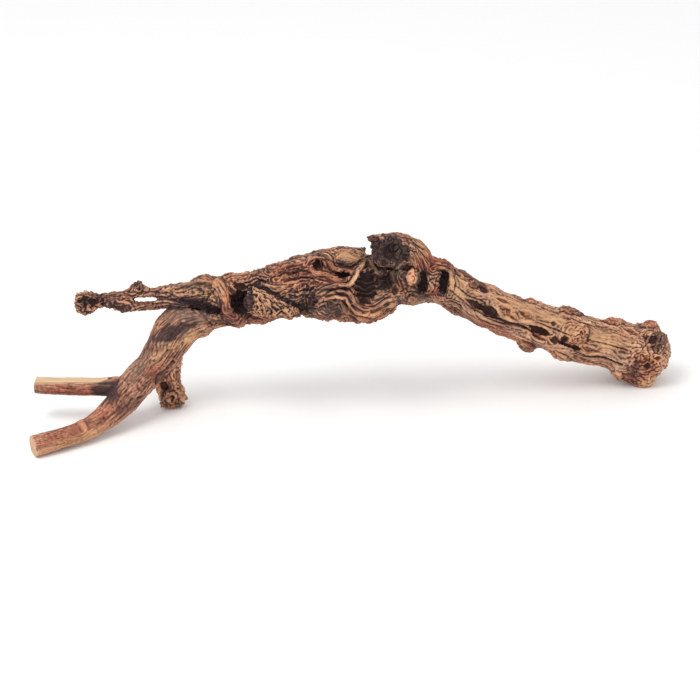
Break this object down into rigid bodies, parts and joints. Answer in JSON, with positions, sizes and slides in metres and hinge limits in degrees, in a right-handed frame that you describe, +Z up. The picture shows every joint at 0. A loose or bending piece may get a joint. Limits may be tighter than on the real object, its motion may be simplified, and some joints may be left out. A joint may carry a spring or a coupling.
{
  "type": "gnarled vine branch",
  "caption": "Dry, gnarled vine branch: a knotted trunk with a thick arm, a crown stub, a twig and a forked lower limb with sawn prongs.",
  "frame": {"origin": "middle of the branch's bounding box, on the surface that it rests on", "axes": "+X from the sawn prongs towards the thick right end, +Y towards the back, +Z up"},
  "size_m": [0.5049, 0.1634, 0.1513],
  "materials": {
    "weathered_wood": "dry, barkless, furrowed wood, matt",
    "broken_dark_wood": "dark, rough, broken wood, matt",
    "sawn_limb_wood": "smoother wood with pale sawn faces, matt"
  },
  "bodies": {
    "root": {"trunk": "weathered_wood", "crown_stub": "broken_dark_wood", "upper_twig": "weathered_wood", "lower_limb": "weathered_wood", "lower_prong": "sawn_limb_wood", "upper_prong": "sawn_limb_wood", "short_stub": "weathered_wood"}
  },
  "joints": []
}
